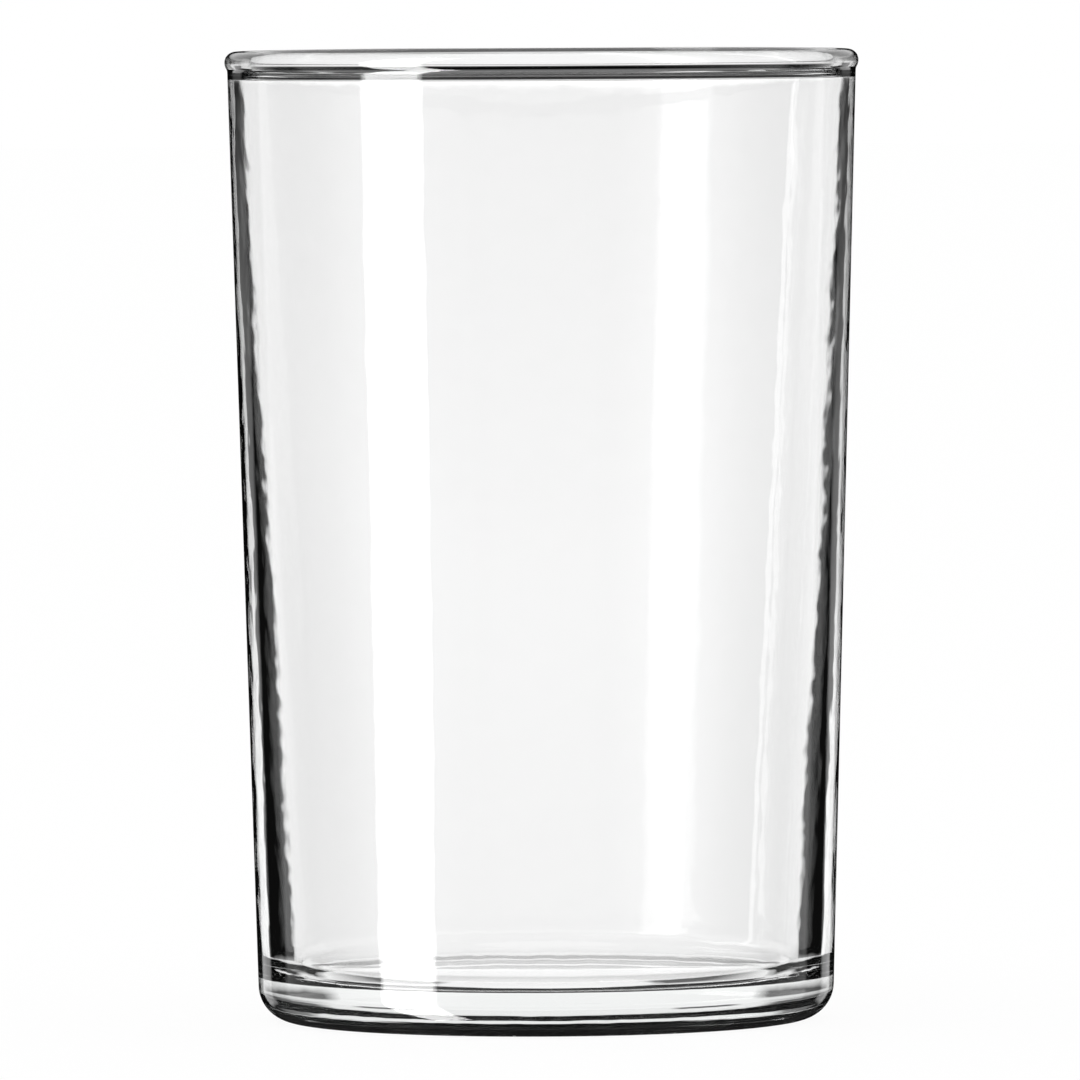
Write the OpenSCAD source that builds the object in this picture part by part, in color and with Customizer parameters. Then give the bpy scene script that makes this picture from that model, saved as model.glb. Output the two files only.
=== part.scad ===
// Seltzer glass: a straight-sided tumbler with a beaded rim, a tapered wall and a thick rounded base.
// Sizes are in millimetres. The origin is the centre of the ring it stands on, and +Z points to the mouth.
// Half of the section is drawn in the plane of radius and height, in three zones that share their cut lines,
// and each zone is turned round the axis.

/* [Overall] */
// Height from the table to the top of the rim
height = 98; // [80:0.5:130]
// Outer diameter over the rim bead
rim_d = 64; // [56:0.5:80]
// Outer diameter of the wall where it would meet the table if the heel were sharp
foot_d = 58; // [50:0.2:62]

/* [Rim bead] */
// Thickness of the round bead
bead_d = 2.3; // [1.8:0.1:3.6]
// How far the bead stands out past the wall
bead_overhang = 0.25; // [0.2:0.05:0.8]
// Radius of the soft neck where the bead runs into the wall, outside and inside
neck_r = 0.8; // [0.5:0.1:3]

/* [Wall] */
// Wall thickness at the bead
wall_top = 1.15; // [0.7:0.05:1.5]
// Wall thickness at the level of the inside floor
wall_foot = 3.7; // [2:0.1:5]

/* [Base] */
// Height of the inside floor above the table
base_t = 4.4; // [3:0.1:8]
// Radius of the rounded heel outside
heel_r = 3.6; // [2:0.1:6]
// Radius of the corner between the floor and the wall inside
corner_r = 2.6; // [1:0.1:5]
// Width of the flat ring that it stands on, inside the heel
ring_w = 2.6; // [1:0.1:6]
// Height of the shallow hollow inside that ring, at its middle
push_up = 1.1; // [0.4:0.1:2]

/* [Hidden] */

glass_tint = [0.90, 0.94, 0.93, 0.45];
// Steps in a full turn
turn_steps = 180;
// Largest distance between a drawn arc and the true one
arc_error = 0.004;

rim_r = rim_d / 2;
bead_r = bead_d / 2;
bead_centre = [rim_r - bead_r, height - bead_r];

// The outer and the inner line of the wall, each from its foot up to the level of the bead's centre
outer_foot = [foot_d / 2, 0];
outer_top = [rim_r - bead_overhang, bead_centre.y];
inner_foot = [radius_at(outer_foot, outer_top, base_t) - wall_foot, base_t];
inner_top = [outer_top.x - wall_top, bead_centre.y];

// Lean of each line from the upright
outer_lean = atan2(outer_top.x - outer_foot.x, outer_top.y - outer_foot.y);
inner_lean = atan2(inner_top.x - inner_foot.x, inner_top.y - inner_foot.y);

// The heel and the inside corner: arcs that touch a level line and a wall line
heel_centre = touching_centre(outer_foot, outer_top, outer_lean, heel_r);
inside_corner = touching_centre(inner_foot, inner_top, inner_lean, corner_r);

// The necks: arcs that touch the bead and a wall line
neck_out = neck_centre(outer_foot, outer_lean, 1);
neck_in = neck_centre(inner_foot, inner_lean, -1);
neck_out_dir = direction(neck_out - bead_centre);
neck_in_dir = direction(neck_in - bead_centre);

// The push-up: part of a large sphere, inside the standing ring
push_up_edge = heel_centre.x - ring_w;
push_up_r = (push_up_edge ^ 2 + push_up ^ 2) / (2 * push_up);
push_up_centre = [0, push_up - push_up_r];

// Levels where the zones meet: just above the heel and the inside corner, and just below both necks
land = 0.3;
base_top = max(inside_corner.y, heel_centre.y) + land;
bead_low = min(neck_out.y, neck_in.y - neck_r * sin(inner_lean)) - land;

// Radius at a level on the line through a and b
function radius_at(a, b, level) = a.x + (b.x - a.x) * (level - a.y) / (b.y - a.y);

// Point at a level on the outer and on the inner wall line
function outer_at(level) = [radius_at(outer_foot, outer_top, level), level];
function inner_at(level) = [radius_at(inner_foot, inner_top, level), level];

// Angle of a vector, counted from the level direction away from the axis
function direction(v) = atan2(v.y, v.x);

// Centre of an arc of radius r that touches the level of a, and the line a-b from its axis side
function touching_centre(a, b, lean, r) = [radius_at(a, b, a.y + r) - r / cos(lean), a.y + r];

// Centre of an arc that touches the bead and a wall line from outside (side 1) or from inside (side -1)
function neck_centre(a, lean, side) =
    let (
        up = [sin(lean), cos(lean)],
        out = [cos(lean), -sin(lean)],
        reach = side * neck_r - (bead_centre - a) * out
    )
    bead_centre + reach * out - sqrt((bead_r + neck_r) ^ 2 - reach ^ 2) * up;

// Points along an arc from one angle to another, close enough together to keep to arc_error.
// With skip = 1 the two end points are left out, because the neighbouring arcs already hold them.
function arc(centre, r, from, to, skip = 0) =
    let (steps = ceil(abs(to - from) / (2 * acos(1 - arc_error / r))))
    [for (i = [skip:steps - skip]) centre + r * unit(from + (to - from) * i / steps)];

// Unit vector at an angle
function unit(angle) = [cos(angle), sin(angle)];

// One zone of the glass, turned from half of its section
module zone(section) {
    color(glass_tint)
        rotate_extrude($fn = turn_steps)
            polygon(section);
}

// The rounded lip: up the outside of the neck, over the bead, and down the inside of the neck
module rim_bead() {
    zone(concat(
        [outer_at(bead_low)],
        arc(neck_out, neck_r, 180 - outer_lean, neck_out_dir + 180),
        arc(bead_centre, bead_r, neck_out_dir, neck_in_dir + 360, skip = 1),
        arc(neck_in, neck_r, neck_in_dir + 180, -inner_lean),
        [inner_at(bead_low)]
    ));
}

// The wall: thin at the bead and thicker towards the base
module side_wall() {
    zone([
        outer_at(base_top),
        outer_at(bead_low),
        inner_at(bead_low),
        inner_at(base_top)
    ]);
}

// The thick bottom: push-up, standing ring, heel, inside corner and floor
module base() {
    zone(concat(
        arc(push_up_centre, push_up_r, 90, acos(push_up_edge / push_up_r)),
        arc(heel_centre, heel_r, -90, -outer_lean),
        [outer_at(base_top)],
        [inner_at(base_top)],
        arc(inside_corner, corner_r, -inner_lean, -90),
        [[0, base_t]]
    ));
}

rim_bead();
side_wall();
base();
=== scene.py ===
# %% [markdown]
# # A seltzer glass
# The object is a plain tumbler: one piece of clear glass with a rounded lip, a wall that grows thicker
# towards the foot, and a heavy base. This lesson draws half of its section, spins that into a closed
# glass body, gives the glass its finish, and lights it the way clear glass is lit. Glass has no colour of
# its own to show, so most of its look is what it bends and mirrors, and the room round it matters as much
# as the mesh.

# %% Load the measured model
import math

import bmesh
import bpy
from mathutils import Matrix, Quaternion, Vector, noise


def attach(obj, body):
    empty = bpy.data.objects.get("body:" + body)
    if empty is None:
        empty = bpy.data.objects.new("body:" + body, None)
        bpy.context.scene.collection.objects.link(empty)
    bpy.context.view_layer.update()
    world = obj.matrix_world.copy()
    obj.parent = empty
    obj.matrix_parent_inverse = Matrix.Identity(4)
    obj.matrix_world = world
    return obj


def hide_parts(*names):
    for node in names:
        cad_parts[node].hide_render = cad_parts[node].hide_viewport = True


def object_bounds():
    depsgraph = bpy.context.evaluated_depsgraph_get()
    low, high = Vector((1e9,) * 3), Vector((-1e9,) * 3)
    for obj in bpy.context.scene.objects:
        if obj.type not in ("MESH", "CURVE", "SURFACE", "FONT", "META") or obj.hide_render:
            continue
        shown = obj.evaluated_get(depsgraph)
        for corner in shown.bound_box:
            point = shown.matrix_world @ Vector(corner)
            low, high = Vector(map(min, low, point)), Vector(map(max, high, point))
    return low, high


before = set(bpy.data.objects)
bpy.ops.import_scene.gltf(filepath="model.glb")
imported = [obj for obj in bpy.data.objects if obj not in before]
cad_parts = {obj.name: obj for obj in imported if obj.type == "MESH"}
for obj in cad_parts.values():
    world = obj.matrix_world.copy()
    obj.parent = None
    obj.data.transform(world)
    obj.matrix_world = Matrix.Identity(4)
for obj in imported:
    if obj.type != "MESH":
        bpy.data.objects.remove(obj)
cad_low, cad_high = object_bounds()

MM = 0.001
print("measured box, mm:", [round(v / MM, 2) for v in (*cad_low, *cad_high)])

# %% [markdown]
# ## The camera
# The photograph was taken with a long lens from about a metre and a half away, a little above the rim, so
# the mouth is almost a line and the base curves gently. A long lens also keeps the sides straight. The
# camera looks down by a couple of degrees and is turned a hair, as a hand-levelled camera is.

# %% Camera
camera_distance = 1.602
camera_height = 0.112
camera_aside = -0.0004
look_down = math.radians(2.27)
camera_turn = math.radians(-0.3)
lens_mm = 528.7

camera_data = bpy.data.cameras.new("camera")
camera_data.lens = lens_mm
camera_data.sensor_width = 36.0
camera = bpy.data.objects.new("camera", camera_data)
bpy.context.collection.objects.link(camera)
camera.location = (camera_aside, -camera_distance, camera_height)
gaze = Vector((0.0, math.cos(look_down), -math.sin(look_down)))
camera.rotation_mode = "QUATERNION"
camera.rotation_quaternion = gaze.to_track_quat("-Z", "Y") @ Quaternion((0.0, 0.0, 1.0), camera_turn)
bpy.context.scene.camera = camera
print("camera at", [round(v, 3) for v in camera.location], "lens", lens_mm, "mm")

# %% [markdown]
# ## The half-section
# A turned shape is fully described by the line one gets by sawing it in half. The outer sizes come from
# the measured model. The thickness of the wall and the base, which no outer box can tell, are named here.
# The line is first drawn with sharp corners, because those are easy to place.

# %% Sizes of the section
height = cad_high.z
rim_r = cad_high.x
foot_r = 29.0 * MM
bead_d = 2.3 * MM
bead_overhang = 0.25 * MM
neck_r = 0.8 * MM
wall_top = 1.15 * MM
wall_foot = 3.7 * MM
base_t = 4.4 * MM
heel_r = 3.6 * MM
corner_r = 2.6 * MM
ring_w = 2.6 * MM
push_up = 1.1 * MM

bead_r = bead_d / 2
bead_z = height - bead_r
outer_top_r = rim_r - bead_overhang
inner_top_r = outer_top_r - wall_top
bead_inner_r = rim_r - bead_d


def outer_radius(z):
    """Radius of the outer wall line at a height."""
    return foot_r + (outer_top_r - foot_r) * z / bead_z


inner_foot_r = outer_radius(base_t) - wall_foot


def inner_radius(z):
    """Radius of the inner wall line at a height."""
    return inner_foot_r + (inner_top_r - inner_foot_r) * (z - base_t) / (bead_z - base_t)


print("wall line, mm: foot", foot_r / MM, "top", round(outer_top_r / MM, 2))

# %% [markdown]
# ### The corners of the bead
# The lip is a round bead that runs into the wall through a soft neck on each side. Bead and neck are two
# arcs that touch. The bend of that S is set by how far the bead stands out past the wall, and it gives
# the two sharp corners that the arcs round off.


# %% Corners of the bead
def neck_corners(overhang):
    """Heights of the bead's lower corner and of the neck's corner, for a bead that stands out this far."""
    bend = math.acos(1.0 - overhang / (bead_r + neck_r))
    bead_corner = bead_z - bead_r * math.tan(bend / 2)
    return bead_corner, bead_corner - overhang / math.tan(bend)


bead_out_z, neck_out_z = neck_corners(bead_overhang)
bead_in_z, neck_in_z = neck_corners(inner_top_r - bead_inner_r)
heel_lean = math.atan((outer_top_r - foot_r) / bead_z)
ring_outer_r = outer_radius(heel_r) - heel_r / math.cos(heel_lean)
ring_inner_r = ring_outer_r - ring_w

# Each corner of the line: radius, height and the size of its rounding
corners = [
    (0.0, push_up, 0.0),
    (ring_inner_r, 0.0, 0.0),
    (foot_r, 0.0, heel_r),
    (outer_radius(neck_out_z), neck_out_z, neck_r),
    (rim_r, bead_out_z, bead_r),
    (rim_r, height, bead_r),
    (bead_inner_r, height, bead_r),
    (bead_inner_r, bead_in_z, bead_r),
    (inner_radius(neck_in_z), neck_in_z, neck_r),
    (inner_foot_r, base_t, corner_r),
    (0.0, base_t, 0.0),
]
print(len(corners), "corners in the half-section")

# %% [markdown]
# ### Rounding the line
# A vertex bevel rounds a corner of a bare line. It is told how far from the corner the rounding starts,
# so the wanted radius is first turned into that distance. Afterwards the straight stretches are cut into
# short edges, because the glass will be made very slightly uneven later, and only vertices can move.

# %% Draw and round the half-section
arc_steps = 14
longest_edge = 1.5 * MM
same_point = 0.0001 * MM
section = bmesh.new()
line = [section.verts.new((r, 0.0, z)) for r, z, _ in corners]
for pair in zip(line, line[1:]):
    section.edges.new(pair)
for vert, (_, _, rounding) in zip(line, corners):
    if rounding == 0.0:
        continue
    before, after = (edge.other_vert(vert).co - vert.co for edge in vert.link_edges)
    start = rounding * math.tan((math.pi - before.angle(after)) / 2)
    bmesh.ops.bevel(section, geom=[vert], offset=start, offset_type="OFFSET", segments=arc_steps,
                    profile=0.5, affect="VERTICES", material=-1)
bmesh.ops.remove_doubles(section, verts=section.verts, dist=same_point)
for edge in section.edges[:]:
    cuts = int(edge.calc_length() / longest_edge)
    if cuts > 0:
        bmesh.ops.subdivide_edges(section, edges=[edge], cuts=cuts)
print("half-section:", len(section.verts), "points")

# %% [markdown]
# ### The push-up
# Under the base is a shallow hollow, so that the glass stands on a ring and doesn't rock. Its cut points
# lie on a slanted line so far. Each is lifted on to a shallow dome that meets the ring at the table.

# %% Shape the push-up
for vert in section.verts:
    if vert.co.x < ring_inner_r and vert.co.z < base_t / 2:
        vert.co.z = push_up * (1.0 - (vert.co.x / ring_inner_r) ** 2)
print("push-up: radius", round(ring_inner_r / MM, 2), "mm, height", push_up / MM, "mm")

# %% [markdown]
# ## Spinning the glass
# Spin turns the line round the axis in small steps and joins the last step to the first. The two ends of
# the line lie on the axis, so each becomes a pole where many points coincide: they are merged into one.
# The normals are then recalculated, because glass only refracts correctly if they all point outwards.

# %% Spin
spin_steps = 256
pole_width = 0.001 * MM
bmesh.ops.spin(section, geom=section.verts[:] + section.edges[:], cent=(0.0, 0.0, 0.0), axis=(0.0, 0.0, 1.0),
               angle=2 * math.pi, steps=spin_steps, use_merge=True, use_duplicate=False)
bmesh.ops.remove_doubles(section, verts=section.verts, dist=pole_width)
bmesh.ops.recalc_face_normals(section, faces=section.faces)
print("spun:", len(section.faces), "faces")

# %% [markdown]
# ### Pressed and blown glass is never perfect
# The wall is a few hundredths of a millimetre uneven, more so inside, where only air has touched it. That
# is far too little to see as shape, but it makes the dark lines along the edges waver. Each point is
# moved towards or away from the axis by a smooth noise.

# %% Uneven wall
outer_uneven = 0.02 * MM
inner_uneven = 0.05 * MM
waves = Vector((45.0, 45.0, 28.0))
inner_shift = Vector((7.3, 2.1, 4.7))
even_floor_r = 0.9 * inner_foot_r
for vert in section.verts:
    out = Vector((vert.co.x, vert.co.y, 0.0))
    if out.length < even_floor_r:
        continue
    middle_r = (outer_radius(vert.co.z) + inner_radius(max(vert.co.z, base_t))) / 2
    where = vert.co * waves
    if out.length < middle_r:
        amount = inner_uneven * noise.noise(where + inner_shift)
    else:
        amount = outer_uneven * noise.noise(where)
    vert.co += out.normalized() * amount
print("uneven by up to", outer_uneven / MM, "mm outside and", inner_uneven / MM, "mm inside")

# %% [markdown]
# ### From the workbench to the scene
# A bmesh is only a workbench: its shape is copied into a mesh, and an object shows that mesh in the
# scene. The glass rides on the one body that the measured model has. It stands for all three solids of
# that model at once, because real glass has no inner faces where they meet.


# %% The glass as an object
def finished(shape, name):
    """An object that shows a finished bmesh."""
    mesh = bpy.data.meshes.new(name)
    shape.to_mesh(mesh)
    shape.free()
    piece = bpy.data.objects.new(name, mesh)
    bpy.context.collection.objects.link(piece)
    return piece


glass = finished(section, "glass")
glass.data.shade_smooth()
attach(glass, "root")
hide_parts("rim_bead", "side_wall", "base")
print("glass:", len(glass.data.vertices), "points,", len(glass.data.polygons), "faces")

# %% [markdown]
# ## A few tools for node trees
# The materials and the room are node trees. Each node could be added and linked line by line, but a few
# small functions keep the trees readable. The first four work with numbers: one feeds a socket from a
# node or a plain value, and the others add a sum, a slope between two values, and a choice.


# %% Node tools for numbers
def feed(tree, socket, value):
    """Feeds a socket from another node's output, or sets it to a plain value."""
    if isinstance(value, bpy.types.NodeSocket):
        tree.links.new(value, socket)
    else:
        socket.default_value = value


def calc(tree, operation, *values):
    """A Math node's result."""
    node = tree.nodes.new("ShaderNodeMath")
    node.operation = operation
    for socket, value in zip(node.inputs, values):
        feed(tree, socket, value)
    return node.outputs["Value"]


def slope(tree, value, start, end, at_start, at_end):
    """A number that goes from at_start to at_end while value goes from start to end, and stays there."""
    node = tree.nodes.new("ShaderNodeMapRange")
    for name, given in (("Value", value), ("From Min", start), ("From Max", end),
                        ("To Min", at_start), ("To Max", at_end)):
        feed(tree, node.inputs[name], given)
    return node.outputs["Result"]


def choose(tree, flag, otherwise, chosen):
    """One of two numbers, by a flag of 0 or 1, or a blend of them by a flag in between."""
    node = tree.nodes.new("ShaderNodeMix")
    feed(tree, node.inputs["Factor"], flag)
    feed(tree, node.inputs["A"], otherwise)
    feed(tree, node.inputs["B"], chosen)
    return node.outputs["Result"]


print("node tools for numbers ready")

# %% [markdown]
# The other four work with whole trees. They empty a tree, find where a point lies on its own piece and
# how high that is, and mix two shaders.


# %% Node tools for surfaces
def fresh_tree(holder):
    """The emptied node tree of a material or a world."""
    holder.use_nodes = True
    holder.node_tree.nodes.clear()
    return holder.node_tree


def object_place(tree):
    """Where a point lies on its own piece."""
    return tree.nodes.new("ShaderNodeTexCoord").outputs["Object"]


def height_of(tree, place):
    """The height of a place."""
    node = tree.nodes.new("ShaderNodeSeparateXYZ")
    tree.links.new(place, node.inputs["Vector"])
    return node.outputs["Z"]


def mixed(tree, share, first, second):
    """A shader that is the second one to a share, and the first one for the rest."""
    node = tree.nodes.new("ShaderNodeMixShader")
    tree.links.new(share, node.inputs["Fac"])
    tree.links.new(first, node.inputs[1])
    tree.links.new(second, node.inputs[2])
    return node.outputs["Shader"]


print("node tools for surfaces ready")

# %% [markdown]
# ## The finish
# Clear glass could be a Glass shader. A Principled shader with full transmission does the same, and it
# keeps every setting of the surface in one place. Its colour is white, because the glass is colourless:
# the faint green-grey of a thick edge comes from a volume that swallows a little light on the way
# through. Only where the wall is seen almost edge-on is the colour turned grey. That is painted shade: it
# stands in for the thin dark line that the room draws along the outline of a real glass. The painted shade
# fades out near the foot, so that the floor inside, which is also seen at a grazing angle, stays clear.

# %% Clear glass: body and tint
glass_ior = 1.52
depth_colour = (0.90, 0.92, 0.91, 1.0)
depth_density = 12.0
# Painted shade along the outline: where it starts and is full, how grey it gets, and the heights where it
# fades in
edge_shade_start = 0.86
edge_shade_full = 0.91
painted_shade_grey = 0.4
shade_fade_low = 5.0 * MM
shade_fade_high = 8.0 * MM

clear_glass = bpy.data.materials.new("clear_glass")
tree = fresh_tree(clear_glass)
output = tree.nodes.new("ShaderNodeOutputMaterial")
shader = tree.nodes.new("ShaderNodeBsdfPrincipled")
shader.inputs["Transmission Weight"].default_value = 1.0
shader.inputs["IOR"].default_value = glass_ior
place = object_place(tree)
level = height_of(tree, place)

# Painted shade: the colour turns grey where the wall is seen edge-on, in place of the room's dark outline
grazing = tree.nodes.new("ShaderNodeLayerWeight")
grazing.inputs["Blend"].default_value = 0.5
shade_above_foot = slope(tree, level, shade_fade_low, shade_fade_high, 0.0, 1.0)
painted_edge_shade = tree.nodes.new("ShaderNodeValToRGB")
white_end, shaded_end = painted_edge_shade.color_ramp.elements
white_end.position = edge_shade_start
white_end.color = (1.0, 1.0, 1.0, 1.0)
shaded_end.position = edge_shade_full
shaded_end.color = (painted_shade_grey, painted_shade_grey, painted_shade_grey, 1.0)
tree.links.new(calc(tree, "MULTIPLY", grazing.outputs["Facing"], shade_above_foot), painted_edge_shade.inputs["Fac"])
tree.links.new(painted_edge_shade.outputs["Color"], shader.inputs["Base Color"])

depth_tint = tree.nodes.new("ShaderNodeVolumeAbsorption")
depth_tint.inputs["Color"].default_value = depth_colour
depth_tint.inputs["Density"].default_value = depth_density
tree.links.new(depth_tint.outputs["Volume"], output.inputs["Volume"])
glass.data.materials.append(clear_glass)
print("clear glass: grey line from", edge_shade_start, "to", edge_shade_full, "of full grazing")

# %% [markdown]
# ### Wear
# A glass that has been used and wiped isn't equally smooth all over. Wiping leaves long soft marks round
# the wall, where the gloss is a hair duller, and the ring that it stands on is scuffed by every table.
# Both are noise in the roughness. They use object coordinates, so they stay on the glass when it moves.


# %% Clear glass: wear
def marks(tree, place, scale, stretch, detail):
    """A noise on the piece, drawn out along the axis by a stretch below 1, and across it by one above 1."""
    stretched = tree.nodes.new("ShaderNodeVectorMath")
    stretched.operation = "MULTIPLY"
    feed(tree, stretched.inputs[0], place)
    feed(tree, stretched.inputs[1], (1.0, 1.0, stretch))
    node = tree.nodes.new("ShaderNodeTexNoise")
    feed(tree, node.inputs["Vector"], stretched.outputs["Vector"])
    feed(tree, node.inputs["Scale"], scale)
    feed(tree, node.inputs["Detail"], detail)
    return node.outputs["Fac"]


wipe_rough = 0.02
wipe_low = 0.5
wipe_high = 0.75
scuff_rough = 0.3
scuff_low = 0.52
scuff_high = 0.68
scuff_level = 0.3 * MM
wipe_noise = marks(tree, place, scale=35.0, stretch=5.0, detail=3.0)
wipe = slope(tree, wipe_noise, wipe_low, wipe_high, 0.0, wipe_rough)
scuff_noise = marks(tree, place, scale=900.0, stretch=1.0, detail=4.0)
scuffs = slope(tree, scuff_noise, scuff_low, scuff_high, 0.0, scuff_rough)
on_ring = slope(tree, level, scuff_level / 2, scuff_level, 1.0, 0.0)
worn = calc(tree, "MAXIMUM", wipe, calc(tree, "MULTIPLY", scuffs, on_ring))
tree.links.new(worn, shader.inputs["Roughness"])
print("wear: wipe marks up to", wipe_rough, "and scuffs up to", scuff_rough, "in roughness")

# %% [markdown]
# ### Ripple
# Glass that was shaped hot keeps a faint ripple, finer than the unevenness of the mesh. It would take a
# great many faces to model, so it is a third noise, in a very shallow bump. It lets the dark lines at the
# edges waver.

# %% Clear glass: ripple
ripple_depth = 0.03 * MM
ripple = tree.nodes.new("ShaderNodeBump")
ripple.inputs["Strength"].default_value = 1.0
ripple.inputs["Distance"].default_value = ripple_depth
ripple_noise = marks(tree, place, scale=200.0, stretch=0.7, detail=2.0)
tree.links.new(ripple_noise, ripple.inputs["Height"])
tree.links.new(ripple.outputs["Normal"], shader.inputs["Normal"])
print("ripple:", ripple_depth / MM, "mm deep at most")

# %% [markdown]
# ### The shadow of glass
# A renderer finds it hard to follow light from a lamp through glass to the table, and shows a black
# shadow instead. Light Path tells a ray that only looks for a lamp. For such a ray the glass is a plain
# see-through sheet that takes a tenth of the light, so the shadow stays pale.

# %% Clear glass: shadow
shadow_pass = 0.9
see_through = tree.nodes.new("ShaderNodeBsdfTransparent")
see_through.inputs["Color"].default_value = (shadow_pass, shadow_pass, shadow_pass, 1.0)
path = tree.nodes.new("ShaderNodeLightPath")
surface = mixed(tree, path.outputs["Is Shadow Ray"], shader.outputs["BSDF"], see_through.outputs["BSDF"])
tree.links.new(surface, output.inputs["Surface"])
print("clear glass lets", shadow_pass, "of the lamp's light through to the table")

# %% [markdown]
# ## The table
# The glass stands on a plain table that runs out of sight. Rays that have met the glass don't see the
# table: for them the room further down takes its place.

# %% Table
table_size = 12.0
table_gap = 0.05 * MM
table_bm = bmesh.new()
bmesh.ops.create_grid(table_bm, x_segments=1, y_segments=1, size=table_size / 2)
bmesh.ops.translate(table_bm, verts=table_bm.verts, vec=(0.0, 0.0, -table_gap))
table = finished(table_bm, "table")
table.visible_glossy = False
table.visible_transmission = False
print("table:", table_size, "m wide,", table_gap / MM, "mm below the glass")

# %% [markdown]
# A table can be made white with strong lamps, but these would also wash out the object. Here it is matt
# white paint, and for a ray that comes straight from the camera most of it is glowing paper. The rest
# still takes the soft shadow.

# %% Table: white paint
table_white = 0.95
table_glow = 0.93
white_table = bpy.data.materials.new("white_table")
tree = fresh_tree(white_table)
output = tree.nodes.new("ShaderNodeOutputMaterial")
paint = tree.nodes.new("ShaderNodeBsdfDiffuse")
paint.inputs["Color"].default_value = (table_white, table_white, table_white, 1.0)
paper = tree.nodes.new("ShaderNodeEmission")
path = tree.nodes.new("ShaderNodeLightPath")
glow = calc(tree, "MULTIPLY", path.outputs["Is Camera Ray"], table_glow)
tree.links.new(mixed(tree, glow, paint.outputs["BSDF"], paper.outputs["Emission"]), output.inputs["Surface"])
table.data.materials.append(white_table)
print("white paint:", table_glow, "of it glows for the camera")

# %% [markdown]
# ## The lamp
# One tall softbox stands in front of the glass, to the left. It is an area lamp, as large as a real one,
# so that the shadow on the table is soft. Its bearing is counted from straight behind the glass, to the
# right. The long white streak that it draws on the wall is part of the room further down, where its edges
# can be set freely, so reflected rays don't see the lamp itself.

# %% Lamp
lamp_bearing = -121.7
lamp_distance = 1.0
lamp_z = 0.25
lamp_width = 0.37
lamp_tall = 0.9
lamp_radiance = 3.0

lamp_data = bpy.data.lights.new("softbox", "AREA")
lamp_data.shape = "RECTANGLE"
lamp_data.size = lamp_width
lamp_data.size_y = lamp_tall
lamp_data.energy = lamp_radiance * math.pi * lamp_width * lamp_tall
lamp = bpy.data.objects.new("softbox", lamp_data)
bpy.context.collection.objects.link(lamp)
lamp_turn = math.radians(lamp_bearing)
lamp.location = (lamp_distance * math.sin(lamp_turn), lamp_distance * math.cos(lamp_turn), lamp_z)
lamp.rotation_mode = "QUATERNION"
lamp.rotation_quaternion = (Vector((0.0, 0.0, lamp_z)) - lamp.location).to_track_quat("-Z", "Y")
lamp.visible_glossy = False
lamp.visible_transmission = False
print("softbox:", round(lamp_data.energy, 2), "W at", [round(v, 2) for v in lamp.location])

# %% [markdown]
# ## The collar
# The dark lines in a glass's lip are the dark part of a studio, seen bent through the bead. Here that
# part is a ring of black card, a hand's width away, that starts just above the rim. Only rays that have
# gone through the glass see it, so the camera and the lamp look past it.

# %% Collar
collar_segments = 96
collar_r = 0.15
collar_low = 0.102
collar_high = 0.165
collar_bm = bmesh.new()
bmesh.ops.create_circle(collar_bm, segments=collar_segments, radius=collar_r, cap_ends=False)
bmesh.ops.translate(collar_bm, verts=collar_bm.verts, vec=(0.0, 0.0, collar_low))
raised = bmesh.ops.extrude_edge_only(collar_bm, edges=collar_bm.edges[:])
top_ring = [item for item in raised["geom"] if isinstance(item, bmesh.types.BMVert)]
bmesh.ops.translate(collar_bm, verts=top_ring, vec=(0.0, 0.0, collar_high - collar_low))
collar = finished(collar_bm, "collar")
collar.visible_camera = False
collar.visible_diffuse = False
collar.visible_glossy = False
collar.visible_shadow = False
print("collar: from", round(collar_low / MM), "to", round(collar_high / MM), "mm above the table")

# %% [markdown]
# The card gives no light at all. Towards its upper and its lower edge it turns transparent, so that the
# lines in the lip have soft edges too.

# %% Collar: black card
collar_soft = 0.016
black_card = bpy.data.materials.new("black_card")
tree = fresh_tree(black_card)
output = tree.nodes.new("ShaderNodeOutputMaterial")
clear = tree.nodes.new("ShaderNodeBsdfTransparent")
dark = tree.nodes.new("ShaderNodeEmission")
dark.inputs["Strength"].default_value = 0.0
level = height_of(tree, object_place(tree))
low_end = slope(tree, level, collar_low, collar_low + collar_soft, 0.0, 1.0)
high_end = slope(tree, level, collar_high - collar_soft, collar_high, 1.0, 0.0)
solid = calc(tree, "MULTIPLY", low_end, high_end)
tree.links.new(mixed(tree, solid, clear.outputs["BSDF"], dark.outputs["Emission"]), output.inputs["Surface"])
collar.data.materials.append(black_card)
print("black card: fades over", round(collar_soft / MM), "mm at each edge")

# %% [markdown]
# ## The room
# Clear glass has no look of its own: all that one sees is the room, bent and mirrored. A photographer of
# glass therefore works with cards. A bright wall stands behind the glass, and black and white cards stand
# where they are seen only in its edges. Here the cards are patches of light and dark in the world, laid
# one over the other. Each patch is given by two angles, in degrees: the climb above the level, and the
# bearing from straight behind. Most patches are laid on both sides alike, so their bearing is counted
# without its sign.

# %% Directions in the room
world = bpy.data.worlds.new("room")
bpy.context.scene.world = world
room = fresh_tree(world)
path = room.nodes.new("ShaderNodeLightPath")
toward = room.nodes.new("ShaderNodeTexCoord")
split = room.nodes.new("ShaderNodeSeparateXYZ")
room.links.new(toward.outputs["Generated"], split.inputs["Vector"])
x, y, z = split.outputs

bearing = calc(room, "ARCTAN2", x, y)
aside = calc(room, "ABSOLUTE", bearing)
climb = calc(room, "ARCSINE", z)
# Limits past every climb and past every bearing without its sign: a card has no soft end there
bottom = -100
top = 100
middle = -20
around = 200
black = 0.004
white = 0.95
print("room: climb and bearing of every ray")

# %% [markdown]
# ### Laying a card
# A card is laid by a mask over what is there already. The mask is 1 between two climbs and two bearings,
# and its ends are soft, like those of a card that stands out of focus.


# %% Cards
def sloped(angle, start, end, at_start, at_end):
    """A number that follows an angle between two values of it, in degrees."""
    return slope(room, angle, math.radians(start), math.radians(end), at_start, at_end)


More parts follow.
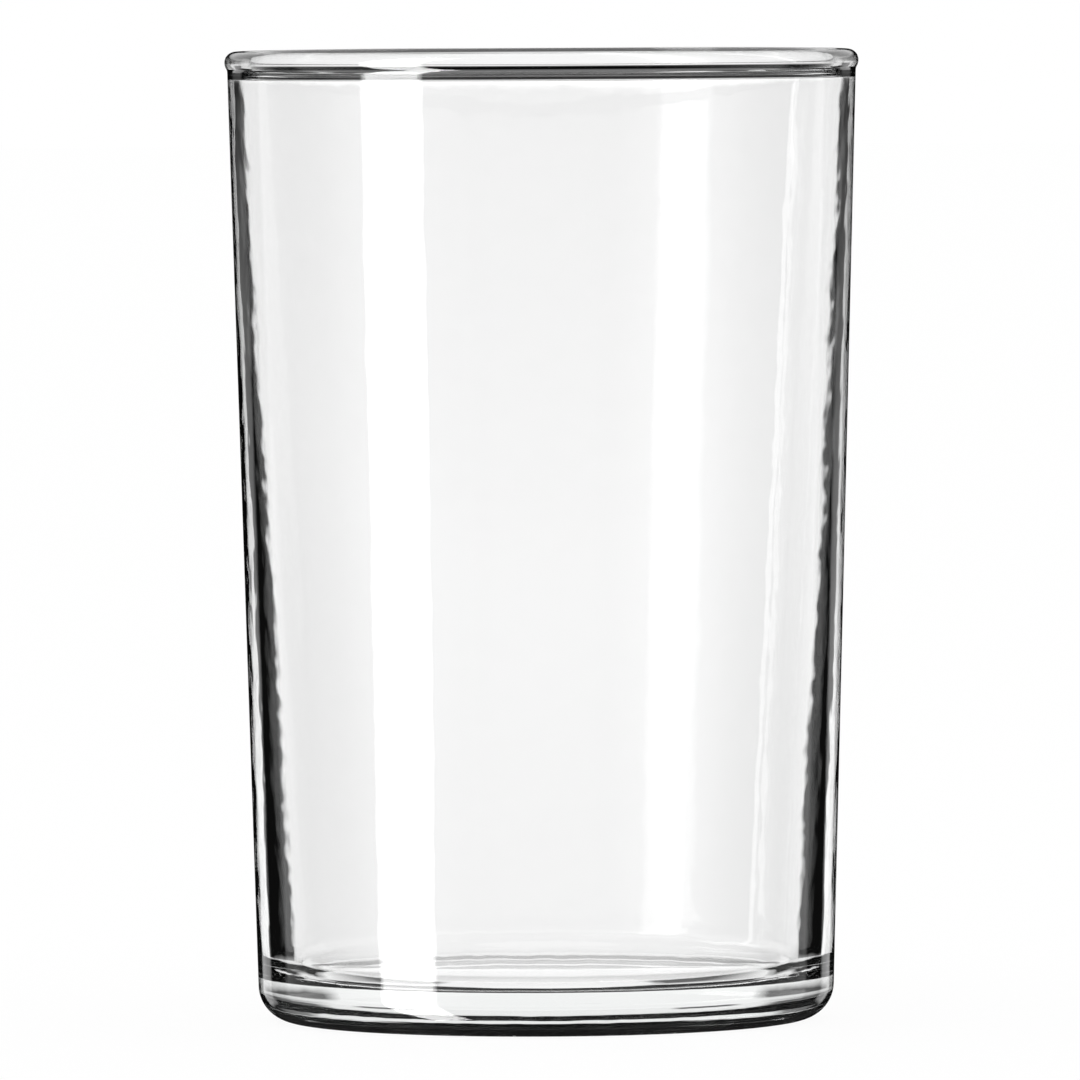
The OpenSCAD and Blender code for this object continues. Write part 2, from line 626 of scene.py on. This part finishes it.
def within(angle, low, high, soft):
    """1 while an angle lies between two others, in degrees, and 0 elsewhere, with soft ends."""
    low_end = sloped(angle, low - soft, low + soft, 0.0, 1.0)
    return calc(room, "MULTIPLY", low_end, sloped(angle, high - soft, high + soft, 1.0, 0.0))


def card(under, light, climbs=(bottom, top), sides=(middle, around), soft=1.5, across=aside):
    """Lays a card of some light over a room: between two climbs and two bearings, in degrees."""
    mask = calc(room, "MULTIPLY", within(climb, *climbs, soft), within(across, *sides, soft))
    return choose(room, mask, under, light)


def more_than(count, number):
    """1 for a ray that has met more surfaces of one kind than a number, and 0 for the others."""
    return calc(room, "GREATER_THAN", path.outputs[count], number + 0.5)


print("cards: patches of light by climb and bearing")

# %% [markdown]
# ### Seen straight through
# Light reaches the camera in four ways, and Light Path tells them apart by counting what a ray has met.
# The first way is straight through the walls. It shows the bright wall behind, which makes the body of
# the glass pale. It falls off a little towards the top and the bottom. A brighter band at the level of
# the rim draws the white line under the bead, and far up the wall is black, for the rays that the bead
# bends most.

# %% Room seen straight through
wall_light = 1.0
upper_light = 0.93
lower_light = 0.965
line_light = 1.18
straight = sloped(climb, -4.0, -1.8, wall_light, upper_light)
straight = card(straight, lower_light, climbs=(-8, -4.9), soft=0.8)
# White line under the bead
straight = card(straight, line_light, climbs=(-1.9, 12), sides=(middle, 20), soft=0.3)
straight = card(straight, black, climbs=(27, top))
print("straight through: a pale wall, from", upper_light, "to", wall_light)

# %% [markdown]
# Some light passes through the glass only once: through the base, through the far side of the mouth, and
# through the near bead, which sends it over the far rim. It gets cards of its own.

# %% Room seen through one wall
mouth_light = 1.28
patch_grey = 0.14
near_lip_grey = 0.17
far_lip_grey = 0.05
one_wall = sloped(climb, -1, 2, mouth_light, wall_light)
# Grey patches at both ends of the base
one_wall = card(one_wall, patch_grey, climbs=(5, top), sides=(38, 75), soft=2.5)
# Grey between the dark lines of the near bead, and the dark line of the far one
one_wall = card(one_wall, near_lip_grey, climbs=(15, top))
one_wall = card(one_wall, far_lip_grey, climbs=(-62, -24), sides=(middle, 50), soft=6.0)
straight = choose(room, more_than("Transmission Depth", 2), one_wall, straight)
print("through one wall: a white mouth, with dark lines in the bead")

# %% [markdown]
# ### Turned inside the wall
# Close to the outline a ray can't leave the wall on the inside: it is turned back and leaves on the
# outside. So the edge of the glass shows what stands at the sides of the room. A bright card, and beside
# it a black one, make the white and the black line that run down each edge. The wall grows thicker
# downwards, which bends the light further, so the black card widens with the fall of the ray.

# %% Room seen in the wall's edge
low_gap_light = 1.5
band_widening = math.radians(17.0)
side_grey = 0.12
again_light = 0.8
gap_light = sloped(climb, -7.0, -4.8, low_gap_light, white)
widening = sloped(climb, -8.6, -5.1, band_widening, 0.0)
narrowed = calc(room, "SUBTRACT", aside, widening)

edge = sloped(aside, 42, 66, white, side_grey)
# Black line and white line along the edge
edge = card(edge, black, climbs=(-12, 0), sides=(middle, 30.5), across=narrowed)
edge = card(edge, gap_light, sides=(middle, 18.5), soft=1.0)
# Dark line round the corner of the floor, with white before it
edge = card(edge, white, climbs=(bottom, -63), soft=2.0)
edge = card(edge, black, climbs=(-61, -28), sides=(middle, 38), soft=3.0)
edge = card(edge, black, climbs=(-28, -15), sides=(middle, 24), soft=3.0)
# Light turned three times: it greys the inner side of the black line
edge_again = sloped(aside, 18, 26, black, again_light)
# Dark in the lower half of the bead
edge_again = card(edge_again, black, climbs=(bottom, -20))
print("edge: a white and a black line, wider towards the foot")

# %% [markdown]
# ### Turned inside the base
# In the heavy base a ray is turned several times, and each number of turns is a stripe of its own, one
# below the other. The first two stripes look out to the bright wall. Those below show black: that is the
# hard dark line on which the glass seems to stand.

# %% Room seen in the base
second_grey = 0.25
once = card(white, patch_grey, sides=(40, 75), soft=3.0)
once = card(once, black, climbs=(17, top), sides=(middle, 20))
# Dark in the lower half of the bead
once = card(once, black, climbs=(36, top))
twice = card(white, second_grey, sides=(45, 75), soft=3.0)

upward = within(climb, -1, top, 1.5)
turned = choose(room, upward, edge, once)
turned = choose(room, more_than("Glossy Depth", 1), turned, twice)
turned = choose(room, more_than("Glossy Depth", 2), turned, choose(room, upward, edge_again, black))
turned = choose(room, more_than("Glossy Depth", 3), turned, black)
print("base: two light stripes over a black line")

# %% [markdown]
# ### Sent back by the far wall, and mirrored
# The far wall mirrors a little of the room's near half, and so does the outside of the near wall. Both
# start from the same surround: a bright wall behind, greyer sides, a lighter front, and a soft halo round
# the softbox.

# %% Room round the mirrors
halo_light = 0.5
side_light = 0.35
front_light = 0.35
from_lamp = calc(room, "ABSOLUTE", calc(room, "SUBTRACT", bearing, lamp_turn))
halo = sloped(from_lamp, 10, 30, halo_light, 0.0)
behind = sloped(aside, 25, 75, white, side_light)
before = sloped(aside, 80, 115, 0.0, front_light)
surround = calc(room, "ADD", calc(room, "ADD", behind, before), halo)
print("surround: from", white, "behind to", side_light + front_light, "in front, and a halo of", halo_light)

# %% [markdown]
# The far wall sends back faint streaks of the softbox and of a narrow window on the left. The same rays
# fill the floor of the glass with the bright wall and draw a grey line at its back.

# %% Room sent back by the far wall
window_light = 2.5
back_streak_light = 3.0
back_streak = (-132.2, -111.2)
floor_light = 1.3
floor_front_light = 1.2
# Streaks of a narrow window and of the softbox
back = card(surround, window_light, sides=(-64, -60), soft=0.3, across=bearing)
back = card(back, back_streak_light, sides=back_streak, across=bearing)
# Bright wall in the floor, and the grey line at its back
back = card(back, floor_light, climbs=(-2, 14), sides=(middle, 42))
back = card(back, floor_front_light, climbs=(-14, -2), sides=(middle, 16))
back = card(back, black, climbs=(15, 26), sides=(middle, 13))
back = card(back, black, climbs=(20, top))
# Dark in the lower half of the bead
back = card(back, black, climbs=(bottom, -37), sides=(middle, 33))
print("sent back: a streak", round(back_streak[1] - back_streak[0], 1), "degrees wide")

# %% [markdown]
# The outside of the near wall shows the softbox as a long white streak. The mirrored room is dark beside
# the outline, so that the edge of the glass stands out against the white page.

# %% Room mirrored by the near wall
streak_light = 16.0
streak = (-134.7, -111.2)
heel_dark = 0.03
lip_light = 1.0
# Dark on both sides of the light gap along the outline
mirrored = card(surround, black, sides=(middle, 22))
mirrored = card(mirrored, black, sides=(35, 52))
mirrored = card(mirrored, black, climbs=(-2.6, 30), sides=(20, 36))
# Dark below and light above, for the heel and the bead
mirrored = card(mirrored, heel_dark, climbs=(bottom, -15))
mirrored = card(mirrored, lip_light, climbs=(8, top))
# Streak of the softbox
mirrored = card(mirrored, streak_light, climbs=(-58, 60), sides=streak, across=bearing)
print("mirrored: a streak", round(streak[1] - streak[0], 1), "degrees wide")

# %% [markdown]
# ### Putting the room together
# A ray is sorted by what it has met. Rays that light matt surfaces get an even white, and the camera
# itself sees plain white, like the page of a catalogue. The limits on bounces are raised, because a ray
# is turned many times in thick glass and would otherwise end in black.

# %% Room put together
ambient = 1.0
page = 1.0
bounces = 32
mirror_bounces = 24
turned = choose(room, more_than("Transmission Depth", 2), turned, back)
through = choose(room, more_than("Glossy Depth", 0), straight, turned)
lighting = choose(room, path.outputs["Is Glossy Ray"], ambient, mirrored)
lighting = choose(room, path.outputs["Is Transmission Ray"], lighting, through)
lighting = choose(room, path.outputs["Is Camera Ray"], lighting, page)
background = room.nodes.new("ShaderNodeBackground")
background.inputs["Color"].default_value = (1.0, 1.0, 1.0, 1.0)
output = room.nodes.new("ShaderNodeOutputWorld")
room.links.new(lighting, background.inputs["Strength"])
room.links.new(background.outputs["Background"], output.inputs["Surface"])

scene = bpy.context.scene
scene.view_settings.view_transform = "Standard"
scene.cycles.max_bounces = bounces
scene.cycles.transmission_bounces = bounces
scene.cycles.glossy_bounces = mirror_bounces
print("room:", len(room.nodes), "nodes")
